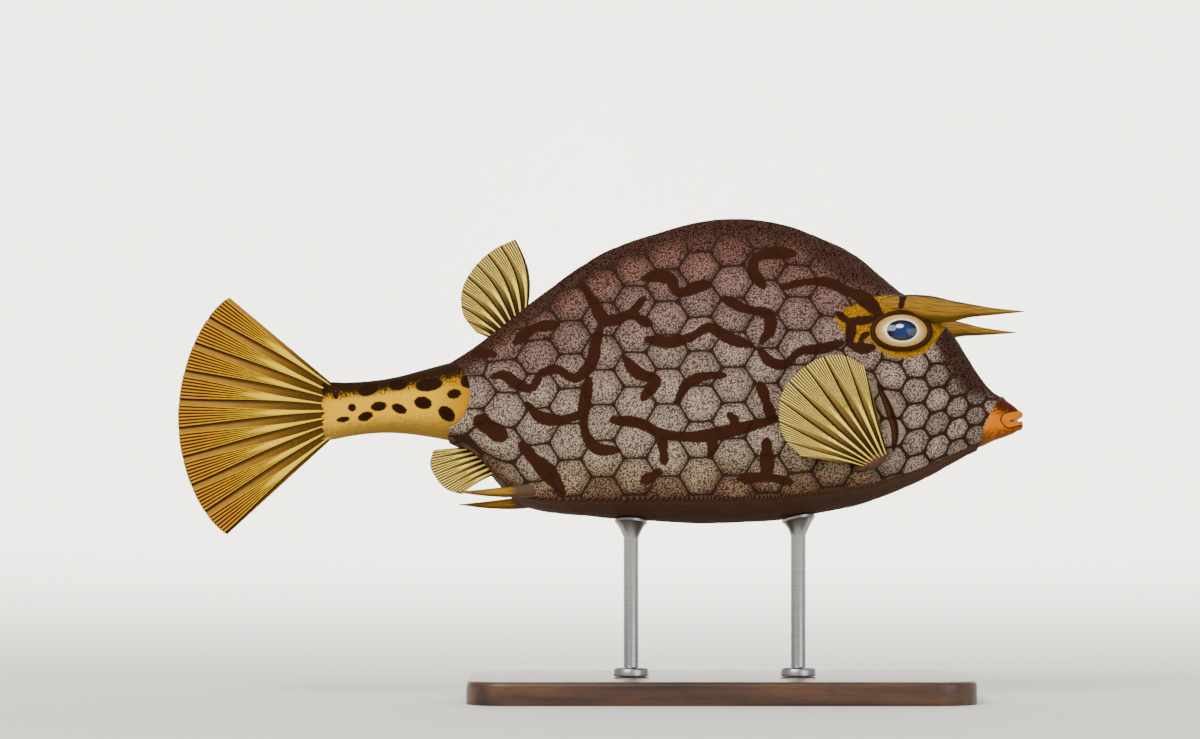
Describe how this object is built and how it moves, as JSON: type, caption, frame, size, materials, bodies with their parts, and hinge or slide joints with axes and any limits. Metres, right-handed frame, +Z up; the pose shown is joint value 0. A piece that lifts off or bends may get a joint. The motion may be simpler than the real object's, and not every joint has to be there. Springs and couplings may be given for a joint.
{
  "type": "scrawled cowfish model on a display stand",
  "caption": "Life-size still model of a scrawled cowfish, banked as if swimming, on a flat base with two upright rods.",
  "frame": {"origin": "centre of the stand's flat underside, on the floor", "axes": "+X towards the fish's mouth along its body, +Y to its left, +Z up"},
  "size_m": [0.2852, 0.086, 0.1635],
  "materials": {
    "plate_bone": "grey-brown bony plates, satin",
    "horn_ochre": "ochre horn, satin",
    "eye": "wet eye, glossy",
    "lip_flesh": "orange soft lips, moist",
    "stalk_skin": "yellow spotted skin, satin",
    "fin_membrane": "yellow fin membrane, satin",
    "tail_membrane": "golden brown fin membrane, satin",
    "stand_wood": "dark stained, satin",
    "stand_metal": "brushed"
  },
  "bodies": {
    "root": {"head": "plate_bone", "torso": "plate_bone", "horn_right": "horn_ochre", "horn_left": "horn_ochre", "belly_spine_right": "horn_ochre", "belly_spine_left": "horn_ochre", "eye_right": "eye", "eye_left": "eye", "snout": "lip_flesh", "tail_stalk": "stalk_skin", "tail_fin": "tail_membrane", "dorsal_fin": "fin_membrane", "anal_fin": "fin_membrane", "pectoral_fin_right": "fin_membrane", "pectoral_fin_left": "fin_membrane", "stand_base": "stand_wood", "stand_rod_front": "stand_metal", "stand_rod_rear": "stand_metal"}
  },
  "joints": []
}
